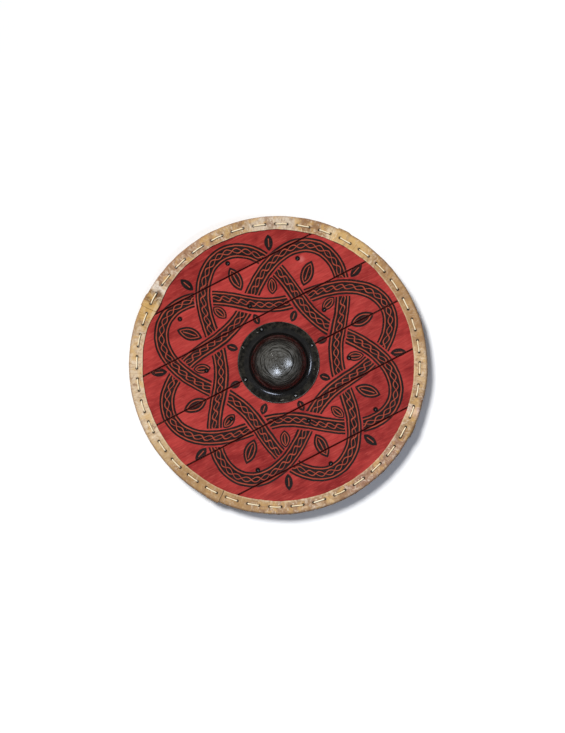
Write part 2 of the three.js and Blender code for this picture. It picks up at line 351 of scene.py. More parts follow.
def painted_planks():
    """Worn red paint over visible grain, with the black ornament and its fine lines."""
    graph = Graph("painted_planks")
    place, x, y, z = graph.position()
    shift = graph.attribute("shift")
    rings, figure, fibres = grain(graph, x, y, z, shift)
    cloud = graph.noise((x * 0.6, y, z + shift * 40), 0.02, 4, 0.62)
    haze = graph.noise((x * 0.5, y, z + shift * 70 + 9), 0.055, 3, 0.6)
    brushed = graph.noise((x * 0.1, y, z + shift * 9), 0.2, 3, 0.6)
    streaks = graph.noise((x * 0.1, y, z + shift * 17), 0.42, 3, 0.7)
    speck = graph.noise(place, 0.55, 3, 0.6)

    red = graph.layers(
        linear(127, 31, 29),
        ((cloud + shift * 0.22).ramp(0.46, 0.74), 175, 58, 53),
        (haze.ramp(0.45, 0.75) * 0.5, 185, 68, 61),
        (haze.ramp(0.45, 0.25) * 0.4, 130, 32, 31),
        (brushed.ramp(0.45, 0.8) * 0.3, 172, 66, 56),
        ((rings * 0.3 + figure * 0.7).ramp(0.45, 0.8) * 0.25, 106, 26, 25),
        (streaks.ramp(0.54, 0.7) * 0.34, 104, 25, 23),
        (streaks.ramp(0.46, 0.32) * 0.34, 204, 92, 82),
        (fibres.ramp(0.52, 0.68) * 0.3, 98, 24, 22),
    )
    for bloom_place, size, strength in PALE_BLOOMS:
        away = square_distance(x, y, bloom_place).root() + speck * 8 - 4
        red = graph.layers(red, (away.ramp(size, 0) * strength, 206, 130, 124))

    body, lines = Ornament(graph, x, y).build()
    chips = (speck + fibres * 0.35).ramp(0.8, 0.88)
    black = graph.layers(
        linear(19, 16, 15),
        (graph.noise(place, 0.05, 3).ramp(0.3, 0.75), 35, 30, 28),
        (fibres.ramp(0.6, 0.8) * 0.3, 74, 50, 45),
    )
    line_red = graph.layers(linear(146, 56, 42), (figure.ramp(0.3, 0.7), 170, 78, 56))
    color = graph.blend(body * (1 - chips * 0.6), red, black)
    color = graph.blend(lines * (1 - chips * 0.4), color, line_red)

    # Lighter red just beside the seams: partly wear on the softened plank edges and partly a painted
    # highlight along them.
    worn_edge_highlight = graph.attribute("edge") * graph.noise(place, 0.16, 4, 0.7).ramp(0.42, 0.66)
    # A dark ring round each nail head: partly dirt and partly painted shadow where the head meets the paint.
    nearest = reduce(Field.smaller, [square_distance(x, y, nail_place) for nail_place in NAIL_PLACES])
    from_nail = nearest.root() + speck * 0.8 - 0.4
    color = graph.layers(
        color,
        (worn_edge_highlight * 0.5, 184, 92, 78),
        (graph.attribute("seam"), 60, 7, 9),
        (from_nail.ramp(6, 4.6) * 0.8, 38, 14, 13),
    )
    sheen = (cloud * 0.5 + fibres * 0.5).ramp(0.3, 0.75, 0.42, 0.62)
    relief = fibres * 0.08 + figure * 0.12 + streaks * 0.11 + rings * 0.05 + body * 0.06 - chips * 0.03
    return graph.finish(color, sheen, Normal=graph.bump(relief), Specular_IOR_Level=0.3)


def bare_wood(name, light, dark, along_y):
    """Planed softwood with rings, fibres, a few knots and handling marks."""
    graph = Graph(name)
    place, x, y, z = graph.position()
    if along_y:
        x, y = y, x
    shift = graph.attribute("shift")
    rings, figure, fibres = grain(graph, x, y, z, shift)
    tone = graph.noise(place, 0.012, 3) + shift * 0.15
    late_wood = (rings * 0.75 + figure * 0.5).ramp(0.5, 1.05)
    knots = graph.cells((x * 0.3, y, z * 0.2 + shift * 700), 0.016)
    color = graph.layers(
        linear(*light),
        (late_wood, *dark),
        (fibres.ramp(0.5, 0.8) * 0.45, 96, 62, 34),
        (tone.ramp(0.35, 0.75) * 0.4, 150, 104, 62),
        (knots.ramp(0.11, 0.06), 74, 42, 24),
    )
    roughness = fibres.ramp(0.3, 0.8, 0.55, 0.78)
    normal = graph.bump(fibres * 0.07 + late_wood * 0.05, 0.9)
    return graph.finish(color, roughness, Normal=normal, Specular_IOR_Level=0.35)


# Bare scratches in the boss: angle in degrees, radius, half length and slant from the circle in degrees
BOSS_SCRATCHES = [
    (130, 78.5, 3.4, 60),
    (322, 74, 1.3, 20),
    (98, 75, 2.2, -35),
    (248, 77, 4, 12),
]


def scratch_marks(x, y):
    """Short bare scratches at chosen places, from 0 to 1."""
    marks = []
    for degrees, radius, half_length, slant in BOSS_SCRATCHES:
        turn = math.radians(degrees)
        lie = turn + math.pi / 2 + math.radians(slant)
        from_x = x - radius * math.cos(turn)
        from_y = y - radius * math.sin(turn)
        along = abs(from_x * math.cos(lie) + from_y * math.sin(lie))
        across = abs(from_y * math.cos(lie) - from_x * math.sin(lie))
        marks.append(across.ramp(1.1, 0.5) * along.ramp(half_length, half_length * 0.6))
    return reduce(Field.larger, marks)


def blackened_steel():
    """Blackened and lacquered steel with circular grinding marks that show most at the crown, and painted
    highlights and shade on the dome.
    """
    graph = Graph("blackened_steel")
    place, x, y, z = graph.position()
    from_x = x - BOSS_CENTRE.x / MM
    from_y = y - BOSS_CENTRE.y / MM
    radius, angle = polar(from_x, from_y)
    cosine = angle.cosine()
    sine = angle.sine()
    drift = graph.noise(place, 0.02, 3)
    rings = graph.noise((radius * 0.62 + drift * 7, cosine * 1.9, sine * 1.9), 1, 5, 0.8, 0.2)
    broad = graph.noise((radius * 0.16, cosine * 1.2, sine * 1.2), 1.2, 3, 0.6)
    brushing = graph.noise((radius * 2.6 + drift * 9, cosine * 2.4, sine * 2.4), 1, 2, 0.7)
    scratches = graph.noise((from_x * 0.05, from_y * 1.6, z * 0.4), 1.1, 3, 0.8, 1.2)

    crown = (radius + broad * 26).ramp(66, 38, smooth=True)
    # A lighter ring round the crown: partly brighter ground steel and partly a painted highlight that spreads
    # the lamps' glints outward.
    ground_and_highlight_ring = radius.ramp(11, 19, smooth=True) * radius.ramp(40, 28, smooth=True)
    groove = abs(radius + drift * 3 - 30.5).ramp(1.3, 0.5)
    flange = radius.ramp(60, 66)
    fillet = abs(radius - 65).ramp(7, 4)
    # Near-black ring at the foot of the dome: painted shade in the crevice where the dome meets the fillet.
    corner = abs(radius - 58.5).ramp(3.5, 1.5)
    # A light line round the flange edge: partly worn bare metal and partly a painted highlight where the edge
    # catches the light.
    edge = abs(radius - (BOSS_RADIUS / MM - 0.7)).ramp(1.1, 0.3)
    worn_edge_and_glint = edge * graph.noise(place, 0.06, 3).ramp(0.35, 0.6) * 0.8
    dome_color = graph.layers(
        linear(23, 20, 19),
        (crown, 122, 118, 109),
        (rings.ramp(0.5, 0.6) * (crown * 0.6 + 0.3), 194, 192, 186),
        (rings.ramp(0.47, 0.38) * 0.9, 24, 22, 21),
        (ground_and_highlight_ring * rings.ramp(0.44, 0.52) * 0.4, 186, 184, 178),
        (groove * broad.ramp(0.36, 0.5), 22, 20, 19),
    )
    patches = graph.noise(place, 0.1, 5, 0.7).ramp(0.42, 0.62)
    flange_color = graph.layers(linear(34, 32, 28), (patches, 84, 78, 66))
    color = graph.layers(
        graph.blend(flange, dome_color, flange_color),
        (fillet * 0.6, 72, 72, 74),
        (corner * 0.8, 8, 7, 7),
        (scratches.ramp(0.64, 0.72) * 0.5, 140, 136, 128),
        (worn_edge_and_glint.larger(scratch_marks(from_x, from_y)), 176, 168, 156),
    )

    polish = (rings * 0.6 + broad * 0.4).ramp(0.35, 0.65, 0.2, 0.42)
    foot = radius.ramp(46, 56) * (1 - fillet)
    relief = (
        rings * 0.08 * (1 - flange * 0.7)
        + broad * 0.1
        + scratches * 0.03
        + brushing * 0.05 * (1 - radius.ramp(50, 57))
    )
    return graph.finish(
        color,
        polish + foot * 0.22 + flange * 0.04 - fillet * 0.19,
        Normal=graph.bump(relief),
        Metallic=0.85,
        Coat_Weight=0.5,
        Coat_Roughness=0.12,
        Coat_Normal=graph.bump(relief, 0.35),
    )


def nail_black():
    """Hammered, blackened iron, with a painted highlight on the crown of the head."""
    graph = Graph("nail_black")
    pits = graph.noise(graph.position()[0], 0.9, 3, 0.6)
    # Painted highlight: the crown of each head is coloured light.
    painted_glint = graph.attribute("crown") * pits.ramp(0.25, 0.5, 0.5, 1)
    color = graph.layers(linear(20, 18, 18), (pits.ramp(0.4, 0.72), 58, 55, 52), (painted_glint, 214, 214, 208))
    roughness = pits.ramp(0.3, 0.7, 0.2, 0.36)
    normal = graph.bump(pits, 0.6, 0.3 * MM)
    return graph.finish(color, roughness, Normal=normal, Metallic=0.85, Coat_Weight=0.5)


# Marks on the hide: the angle where each is, its half width, both in degrees, its colour and strength
HIDE_MARKS = [
    (65, 9, (212, 196, 174), 0.8),
    (49.5, 4.5, (146, 108, 74), 0.6),
    (41, 1.3, (232, 216, 184), 0.8),
    (66.8, 1.4, (138, 100, 70), 0.6),
    (104, 15, (168, 130, 106), 0.6),
    (120.5, 1.6, (226, 214, 198), 0.9),
    (124.2, 2.8, (104, 75, 45), 0.9),
    (163, 24, (220, 196, 162), 0.75),
    (244, 20, (158, 124, 96), 0.55),
    (286, 16, (156, 118, 100), 0.7),
    (313.5, 1.8, (224, 194, 180), 0.85),
    (333, 8, (208, 176, 132), 0.7),
]
# Golden stretches, where the hide is clearer and less flecked
GOLDEN_MARKS = [
    (33, 7.5, (208, 170, 108), 0.85),
    (0, 19, (164, 126, 84), 0.85),
    (130, 4, (202, 162, 96), 0.9),
    (190, 6, (190, 158, 112), 0.7),
    (215, 18, (164, 128, 84), 0.85),
]


def angle_window(degrees, centre, half):
    """1 round the rim near an angle, and 0 away from it."""
    apart = (degrees - centre + 360).folded(180)
    return apart.ramp(half * 1.25 + 0.8, half * 0.75 - 0.3, smooth=True)


def stitch_marks(radius, angle):
    """How far the nearest hole is, in millimetres, and a painted shadow line beside each stitch."""
    turned = (angle - FIRST_STITCH) / STITCH_STEP
    fold = abs(turned - turned.rounded()) * STITCH_STEP
    past = (fold - HALF_STITCH) * (LACE_RADIUS / MM)
    across = radius - LACE_RADIUS / MM
    hole = (past * past + across * across).root()
    return hole, abs(across + 1.9).ramp(1, 0.3) * past.ramp(0.5, -0.5)


def dried_hide():
    """Rawhide, stiff and translucent, clouded tan, gold, brown and white."""
    graph = Graph("dried_hide")
    place, x, y, z = graph.position()
    shift = graph.attribute("shift")
    radius, angle = polar(x, y)
    wander = graph.noise(place, 0.06, 3, 0.6) - 0.5
    degrees = angle * (360 / TURN) + wander * 8
    round_x = angle.cosine() * (SHIELD_RADIUS / MM)
    round_y = angle.sine() * (SHIELD_RADIUS / MM)
    inward = radius - z
    moved = graph.vector((x, y, z + shift * 60))
    cloud = graph.noise(moved, 0.03, 4, 0.62, 0.4)
    patches = graph.noise(moved, 0.085, 3, 0.6, 0.8)
    fine = graph.noise(moved, 0.5, 4, 0.7)
    flecks = graph.noise((round_x, round_y, inward * 0.6 + shift * 30), 0.17, 3, 0.56, 0.9)
    streaks = graph.noise((round_x, round_y, inward * 0.12), 0.3, 3, 0.65, 0.3)
    creases = graph.noise((x, y, z + 400), 0.13, 5, 0.68, 1.2)
    amber = graph.noise((x, y, z + 900), 0.045, 3, 0.6, 0.6)

    color = graph.layers(linear(150, 115, 80), (cloud.ramp(0.38, 0.64), 182, 151, 110))
    for centre, half, tint, strength in HIDE_MARKS:
        color = graph.layers(color, (angle_window(degrees, centre, half) * strength, *tint))
    mottle = 1
    for centre, half, tint, strength in GOLDEN_MARKS:
        window = angle_window(degrees, centre, half)
        color = graph.layers(color, (window * strength, *tint))
        mottle = (1 - window * 0.62) * mottle

    from_rim = radius - SHIELD_RADIUS / MM
    from_flap = radius - FLAP_RADIUS / MM
    hole, line = stitch_marks(radius, angle)
    color = graph.layers(
        color,
        (patches.ramp(0.54, 0.64) * 0.7 * mottle, 208, 186, 160),
        (patches.ramp(0.45, 0.34) * 0.6 * mottle, 136, 96, 70),
        (flecks.ramp(0.55, 0.67) * 0.55 * mottle, 230, 214, 194),
        (flecks.ramp(0.45, 0.33) * 0.46 * mottle, 120, 84, 60),
        (streaks.ramp(0.54, 0.7) * 0.45, 122, 86, 60),
        (creases.ramp(0.58, 0.76) * 0.3, 226, 214, 194),
        (fine.ramp(0.55, 0.8) * 0.3, 112, 84, 60),
        (amber.ramp(0.5, 0.64) * 0.6 * mottle, 206, 164, 98),
        (from_rim.ramp(-5.5, -0.5) * patches.ramp(0.38, 0.6, 0.25, 0.8), 122, 84, 60),
        (from_flap.ramp(2.6, 1) * patches.ramp(0.3, 0.6, 0.1, 0.45), 222, 200, 164),
        # Painted shade: a shadow line beside each stitch, a brown halo in the pressed hollow round each hole,
        # and near-black in the holes.
        (line * 0.6, 108, 74, 42),
        (hole.ramp(5, 2.6) * 0.4, 118, 84, 52),
        (hole.ramp(3, 2.3), 26, 18, 12),
    )
    roughness = (cloud * 0.5 + fine * 0.5).ramp(0.3, 0.75, 0.36, 0.6)
    normal = graph.bump(creases * 0.2 + fine * 0.12 + patches * 0.25 + streaks * 0.35)
    return graph.finish(
        color, roughness, Normal=normal, Specular_IOR_Level=0.4, Coat_Weight=0.18, Coat_Roughness=0.3
    )


def rawhide_lace():
    """A cream thong, twisted a little, with darker creases."""
    graph = Graph("rawhide_lace")
    place, _, _, height = graph.position()
    from_middle = abs(height - (PLANK_TOP + PLANK_BOTTOM) / 2 / MM)
    depth = (PLANK_TOP - PLANK_BOTTOM) / 2 / MM + FULL_LIFT / MM
    strands = graph.attribute("twist").sine()
    fine = graph.noise(place, 0.9, 3, 0.6)
    tone = graph.noise(place, 0.03, 2)
    color = graph.layers(
        linear(236, 216, 176),
        (tone.ramp(0.35, 0.7), 246, 234, 204),
        ((strands * 0.35 + fine).ramp(0.6, 1) * 0.4, 180, 140, 90),
        # Painted shade on the thong where it runs through the board and hide, darkening it inside the holes.
        (from_middle.ramp(depth + 0.3, depth - 0.9), 52, 36, 24),
    )
    normal = graph.bump(strands * 0.1 + fine * 0.08)
    return graph.finish(color, fine.ramp(0.3, 0.8, 0.5, 0.68), Normal=normal)


# Mesh helpers
SHARP_ANGLE = math.radians(50)


def new_object(name, data):
    made = bpy.data.objects.new(name, data)
    bpy.context.scene.collection.objects.link(made)
    return made


def new_mesh(name, points, faces, materials):
    """An object of smooth faces."""
    mesh = bpy.data.meshes.new(name)
    mesh.from_pydata(points.reshape(-1, 3).tolist(), [], faces)
    for material in materials:
        mesh.materials.append(material)
    mesh.polygons.foreach_set("use_smooth", np.full(len(mesh.polygons), True))
    return new_object(name, mesh)


def piece(points, faces, materials, node):
    """A new mesh that rides on the part and stands for one of its nodes."""
    made = new_mesh(f"{node}_finished", points, faces, materials)
    made.data.set_sharp_from_angle(angle=SHARP_ANGLE)
    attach(made, "root")
    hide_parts(node)
    return made


def add_attribute(made, name, values):
    """A value for every point of a piece, or one for all of them."""
    layer = made.data.attributes.new(name, "FLOAT", "POINT")
    layer.data.foreach_set("value", np.resize(np.asarray(values, np.float32), len(layer.data)))


def settle(made):
    """Applies every modifier of a piece."""
    graph = bpy.context.evaluated_depsgraph_get()
    done = bpy.data.meshes.new_from_object(made.evaluated_get(graph))
    made.modifiers.clear()
    made.data = done


def sheet_faces(rows, columns, wrap=False):
    """Faces between the rows of a grid of points, closed to a tube where it wraps."""
    faces = []
    for start in range(0, (rows - 1) * columns, columns):
        for j in range(columns if wrap else columns - 1):
            a = start + j
            b = start + (j + 1) % columns
            faces.append((a, b, b + columns, a + columns))
    return faces


def turned_over(faces):
    return [face[::-1] for face in faces]


def moved_on(faces, count):
    """The same faces on the points that come this much later."""
    return [tuple(i + count for i in face) for face in faces]


def tube_faces(rows, columns):
    """The wall of a tube of points and the two faces that close it."""
    end = [tuple(range(columns))]
    return sheet_faces(rows, columns, True) + turned_over(end) + moved_on(end, (rows - 1) * columns)


def arc(centre, size, start, stop, steps):
    """Points on an ellipse, evenly from one angle in degrees to another."""
    turns = np.radians(np.linspace(start, stop, steps))
    return [(centre[0] + size[0] * math.cos(t), centre[1] + size[1] * math.sin(t)) for t in turns]


def lathe(path, count):
    """The radii and levels of a path as columns, the turns round its axis, and its points there."""
    radii, levels = np.array(path).T[:, :, None]
    turns = np.linspace(0, TURN, count, endpoint=False)
    spread = np.broadcast_arrays(radii * np.cos(turns), radii * np.sin(turns), levels)
    return radii, levels, turns, np.stack(spread, axis=-1)


def ripple(points, size, seed, waves=14):
    """A smooth random field over points, about -1 to 1, with bumps of about this size."""
    random = np.random.default_rng(seed)
    total = np.zeros(points.shape[:-1])
    for _ in range(waves):
        way = random.normal(size=points.shape[-1])
        way *= random.uniform(0.6, 1.5) * math.pi / size / np.linalg.norm(way)
        total += np.sin(points @ way + random.uniform(0, TURN))
    return total / math.sqrt(waves)


def ease(share):
    """Turns an even change from 0 to 1 into one with a soft start and stop."""
    share = np.clip(share, 0, 1)
    return share * share * (3 - 2 * share)


def drill(made, places, radius, low, high, segments=20):
    """Cuts upright round holes through a piece."""
    cutter_mesh = bmesh.new()
    for x, y in places:
        ring = bmesh.ops.create_cone(
            cutter_mesh, cap_ends=True, segments=segments, radius1=radius, radius2=radius, depth=high - low
        )
        bmesh.ops.translate(cutter_mesh, verts=ring["verts"], vec=(x, y, (low + high) / 2))
    data = bpy.data.meshes.new("cutter")
    cutter_mesh.to_mesh(data)
    cutter_mesh.free()
    cutter = new_object("cutter", data)
    cut = made.modifiers.new("holes", "BOOLEAN")
    cut.operation = "DIFFERENCE"
    cut.solver = "MANIFOLD"
    cut.object = cutter
    settle(made)
    made.data.set_sharp_from_angle(angle=SHARP_ANGLE)
    bpy.data.objects.remove(cutter)


# Stitches and laps, as in the solids
def stitch_centre(index):
    return FIRST_STITCH + index * STITCH_STEP


def first_of_strip(strip):
    return strip * STITCHES_PER_STRIP - STITCHES_BEFORE_X


def strip_end(strip):
    before = first_of_strip(strip + 1) - 1
    return (stitch_centre(before) + stitch_centre(before + 1)) / 2


def strip_start(strip):
    return strip_end(strip - 1) - HIDE_LAP / SHIELD_RADIUS


def lift_at(strip, angle):
    lap = strip_start(strip + 1) - FIT_GAP / FLAP_RADIUS
    ramp = lap - HIDE_RAMP / SHIELD_RADIUS
    return FULL_LIFT * ease((angle - ramp) / (lap - ramp))


HOLE_ANGLES = [stitch_centre(i) + side * HALF_STITCH for i in range(STITCH_COUNT) for side in (-1, 1)]
HOLE_PLACES = [(LACE_RADIUS * math.cos(a), LACE_RADIUS * math.sin(a)) for a in HOLE_ANGLES]


# Planks: boards of the round, with softened edges along the seams and faint waves in their faces
PLANK_ROWS = 46
PLANK_COLUMNS = 150
SEAM_STEPS = 5
RIM_ROUND = 4.2 * MM
ROUND_INSET = 0.05 * MM
LEAST_REACH = 4 * MM
NICK_DEPTH = 0.5 * MM
EDGE_WEAR = 4 * MM
HAND_HOLE_SEGMENTS = 96


def plank_section(low, high, first, last):
    """The line of a plank's upper face across the grain, rounded where it meets a seam."""
    last_step = 90 * (1 - 1 / SEAM_STEPS)
    round_off = arc((SEAM_ROUND, PLANK_TOP - SEAM_ROUND), (-SEAM_ROUND, SEAM_ROUND), 0, last_step, SEAM_STEPS)
    left = [(low, PLANK_TOP)] if first else [(low + y, z) for y, z in round_off]
    right = [(high, PLANK_TOP)] if last else [(high - y, z) for y, z in round_off[::-1]]
    middle = np.linspace(left[-1][0], right[0][0], PLANK_ROWS + 1)[1:-1]
    return left + [(y, PLANK_TOP) for y in middle] + right


def plank(index, materials):
    name = f"plank_{index + 1}"
    low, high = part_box(name)
    first = index == 0
    last = index == PLANK_COUNT - 1
    bottom_y = ROUND_INSET - BOARD_RADIUS if first else low.y
    top_y = BOARD_RADIUS - ROUND_INSET if last else high.y
    ys, tops = np.array(plank_section(bottom_y, top_y, first, last)).T[:, :, None]
    reach = np.sqrt(np.maximum(BOARD_RADIUS**2 - ys**2, LEAST_REACH**2))
    x = reach * np.linspace(-1, 1, PLANK_COLUMNS)
    y = np.broadcast_to(ys, x.shape)
    flat = np.stack([x, y], axis=-1)

    inward = np.clip((BOARD_RADIUS - np.hypot(x, y)) / RIM_ROUND, 0, 1)
    drop = RIM_ROUND * (1 - np.sqrt(1 - (1 - inward) ** 2))
    wave = ripple(flat, 70 * MM, 10 + index) * 0.12 + ripple(flat * [0.2, 1], 9 * MM, 30 + index) * 0.05
    from_low = y - bottom_y
    from_high = top_y - y
    from_seam = np.minimum(math.inf if first else from_low, math.inf if last else from_high)
    at_seam = np.clip(1 - from_seam / SEAM_ROUND, 0, 1)
    nick = np.clip(ripple(x[..., None], 23 * MM, 50 + index) - 0.9, 0, 1) * at_seam * NICK_DEPTH
    top = np.minimum(tops - drop + wave * MM - nick, PLANK_TOP + 0.25 * MM)
    bottom = PLANK_BOTTOM + drop * 0.5
    points = np.stack([np.stack([x, y, top], axis=-1), np.stack([x, y, bottom], axis=-1)])

    count = x.size
    grid = np.arange(count).reshape(x.shape)
    sheet = sheet_faces(*x.shape)
    faces = sheet + turned_over(moved_on(sheet, count))
    for side in (grid[0], grid[-1, ::-1], grid[::-1, 0], grid[:, -1]):
        ring = side.tolist()
        faces += [(a, a + count, b + count, b) for a, b in zip(ring, ring[1:])]
    made = piece(points, faces, materials, name)
    for face in made.data.polygons[len(sheet):2 * len(sheet)]:
        face.material_index = 1

    seam = np.clip(at_seam * 1.8 - 0.4, 0, 1)
    # Edge mask beside the seam band: partly wear and partly a painted highlight on the softened plank edge.
    edge_wear_and_highlight = np.clip(1 - np.minimum(from_low, from_high) / EDGE_WEAR, 0, 1) * (seam < 0.2)
    add_attribute(made, "shift", np.random.default_rng(70 + index).uniform(0, 1))
    add_attribute(made, "seam", [seam, np.ones(x.shape)])
    add_attribute(made, "edge", [edge_wear_and_highlight, np.zeros(x.shape)])
    drill(made, HOLE_PLACES, HOLE_RADIUS, PLANK_BOTTOM - MM, PLANK_TOP + MM)
    middle = BOSS_CENTRE.xy
    drill(made, [middle], HAND_HOLE_RADIUS, PLANK_BOTTOM - MM, PLANK_TOP + MM, HAND_HOLE_SEGMENTS)
    for face in made.data.polygons:
        if (face.center.xy - middle).length < HAND_HOLE_RADIUS * 1.02 and abs(face.normal.z) < 0.5:
            face.material_index = 1


# Battens: planed bars with broken edges, the middle one narrowed and rounded for the hand
GRIP_HALF_WIDTH = 15 * MM
GRIP_TAPER = 22 * MM
GRIP_ROUND = 7 * MM
BATTEN_ROUND = 2 * MM
BATTEN_ROWS = 180
CORNER_STEPS = 5
FLATTEN_WEIGHT = 60
BATTEN_SHIFTS = {"batten_left": 0.15, "batten_right": 0.62, "handle_batten": 0.38}


def batten(name, material):
    low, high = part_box(name)
    centre = (low + high) / 2
    half_width = (high.x - low.x) / 2
    half_height = (high.z - low.z) / 2
    rings = []
    for y in np.linspace(low.y, high.y, BATTEN_ROWS):
        share = 0
        if name == "handle_batten":
            share = ease((HAND_HOLE_RADIUS - abs(y - BOSS_CENTRE.y)) / GRIP_TAPER)
        half = half_width + (GRIP_HALF_WIDTH - half_width) * share
        round_off = BATTEN_ROUND + (GRIP_ROUND - BATTEN_ROUND) * share
        from_end = min(y - low.y, high.y - y)
        inset = round_off + 0.8 * max(0, BATTEN_ROUND - from_end)
        ring = []
        for corner, (side_x, side_z) in enumerate([(1, 1), (-1, 1), (-1, -1), (1, -1)]):
            middle = (centre.x + side_x * (half - inset), centre.z + side_z * (half_height - inset))
            bend = arc(middle, (round_off, round_off), 90 * corner, 90 * corner + 90, CORNER_STEPS + 1)
            ring += [(x, y, z) for x, z in bend]
        rings.append(ring)
    points = np.array(rings)
    points[..., 0] += ripple(points[..., 1:2], 60 * MM, 90) * 0.15 * MM
    made = piece(points, tube_faces(*points.shape[:2]), [material], name)
    add_attribute(made, "shift", BATTEN_SHIFTS[name])
    made.modifiers.new("flats", "WEIGHTED_NORMAL").weight = FLATTEN_WEIGHT
    settle(made)


# Boss: a domed sheet with a concave fillet, dented a little by the hammer
BOSS_TURNS = 144
FILLET_REACH = 12.5 * MM
FLANGE_EDGE = 0.9 * MM
CROWN_GAP = 0.02 * MM


def boss_wall(inset):
    """One face of the sheet in section, from the crown to the edge of the flange."""
    shoulder = BOSS_SHEET + BOSS_FILLET
    rise = BOSS_HIGH.z - BOSS_LOW.z - shoulder
    foot = DOME_RADIUS + FILLET_REACH
    dome = arc((0, shoulder), (DOME_RADIUS - inset, rise - inset), 90, 0, 33)
    fillet = arc((foot, shoulder), (FILLET_REACH + inset, BOSS_FILLET + inset), 180, 270, 13)
    flange = [(radius, BOSS_SHEET - inset) for radius in np.linspace(foot, BOSS_RADIUS - FLANGE_EDGE, 9)]
    return dome + fillet[1:] + flange[1:]


def boss(material):
    edge = arc((BOSS_RADIUS - FLANGE_EDGE, BOSS_SHEET / 2), (FLANGE_EDGE, BOSS_SHEET / 2), 60, -60, 4)
    path = boss_wall(0) + edge + boss_wall(BOSS_SHEET)[::-1]
    radii, _, turns, points = lathe([(max(r, CROWN_GAP), z) for r, z in path], BOSS_TURNS)
    flat = points[..., :2]
    dent = (ripple(flat, 17 * MM, 7) * 0.18 + ripple(flat, 60 * MM, 8) * 0.2) * MM
    dome_share = np.clip((DOME_RADIUS - radii) / DOME_RADIUS, 0, 1)
    points[..., 2] = np.maximum(points[..., 2] + dent * (0.35 + dome_share), 0)
    circle = np.stack([np.cos(turns), np.sin(turns)], axis=-1)
    points[..., :2] *= 1 + ripple(circle, 1.3, 9)[:, None] * 0.25 * MM / BOSS_RADIUS
    points += (BOSS_CENTRE.x, BOSS_CENTRE.y, BOSS_LOW.z)
    piece(points, turned_over(tube_faces(len(path), BOSS_TURNS)), [material], "boss")


# Nails: domed heads struck a little out of true, over a straight shaft
NAIL_TURNS = 28
NAIL_SHAFT = 1.5 * MM
NAIL_HEAD = 2.6 * MM
NAIL_LIP = 0.35 * MM
NAIL_UNDERCUT = 0.3 * MM
NAIL_TIP = 0.01 * MM
# The nails with the seed of the first, the size of the painted highlight on the crown, and its strength
NAIL_KINDS = [(PLANK_NAILS, 300, 1.05 * MM, 0.35), (BOSS_NAILS, 350, 1.5 * MM, 1)]


def nail(name, material, seed, glint_size, glint_strength):
    low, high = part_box(name)
    centre = (low + high) / 2
    head_radius = (high.y - low.y) / 2
    base = high.z - NAIL_HEAD
    path = [(NAIL_TIP, low.z), (NAIL_SHAFT, low.z + NAIL_SHAFT), (NAIL_SHAFT, base)]
    path.append((head_radius - NAIL_UNDERCUT, base))
    path += arc((0, base + NAIL_LIP), (head_radius, NAIL_HEAD - NAIL_LIP), 0, 80, 9)
    path.append((NAIL_TIP, high.z))
    radii, levels, _, points = lathe(path, NAIL_TURNS)
    struck = ripple(points, 3.4 * MM, seed) * 0.16 * MM * (levels > base + NAIL_UNDERCUT)
    points[..., 2] = np.minimum(points[..., 2] + struck, high.z + 0.1 * MM)
    points[..., :2] *= (1 + struck / head_radius * 0.6)[..., None]
    points += (centre.x, centre.y, 0)
    made = piece(points, tube_faces(len(path), NAIL_TURNS), [material], name)
    # The painted highlight on each head's crown, stronger on the boss nails.
    crown = np.clip(1.5 - radii / glint_size, 0, 1) * (levels > base) * glint_strength
    add_attribute(made, "crown", np.repeat(crown, NAIL_TURNS))


# Rawhide: strips folded round the rim, wavy at the free edges and drawn down along each stitch
HIDE_STEP = 2 * MM
FOLD_ROUND = 5.6 * MM
BULGE_ANGLE = 125.5
BULGE_SPREAD = 7
BULGE_SIZE = 6 * MM
LIP_SIZE = 0.5 * MM
HOLE_MARGIN = 3 * MM


def hide_path(front_edge, back_edge):
    """A strip's outer line in section from front to back: radius, level and the way out there."""
    top = PLANK_TOP + FULL_LIFT
    bottom = PLANK_BOTTOM - FULL_LIFT
    fold = SHIELD_RADIUS - FOLD_ROUND
    path = [(radius, top, 0, 1) for radius in np.linspace(front_edge, fold, 15)[:-1]]
    for middle, start in ((top - FOLD_ROUND, 90), (bottom + FOLD_ROUND, 0)):
        for out_r, out_z in arc((0, 0), (1, 1), start, start - 90, 8):
            path.append((fold + FOLD_ROUND * out_r, middle + FOLD_ROUND * out_z, out_r, out_z))
    return path + [(radius, bottom, 0, -1) for radius in np.linspace(fold, back_edge, 13)[1:]]


def stitch_press(radius, angle, on_front):
    """How deep the stitches press into the hide, in millimetres, most of all at their holes."""
    turned = (angle - FIRST_STITCH) / STITCH_STEP - (0 if on_front else 0.5)
    fold = np.abs(turned - np.round(turned)) * STITCH_STEP
    past = (fold - (HALF_STITCH if on_front else STITCH_STEP / 2 - HALF_STITCH)) * LACE_RADIUS
    across = radius - LACE_RADIUS
    from_stitch = np.hypot(across, np.maximum(past, 0)) / (2.6 * MM)
    from_hole = np.hypot(across, past) / (3.4 * MM)
    return 0.3 * np.exp(-(from_stitch**2)) + 0.35 * np.exp(-(from_hole**2))


def strip_cap(samples):
    """The faces that close a strip's end, between its outer and its inner line."""
    far = 2 * samples
    faces = [(j, j + 1, far - j - 1, far - j) for j in range(samples - 1)]
    return faces + [(samples - 1, samples, samples + 1), (far + 1, 0, far)]


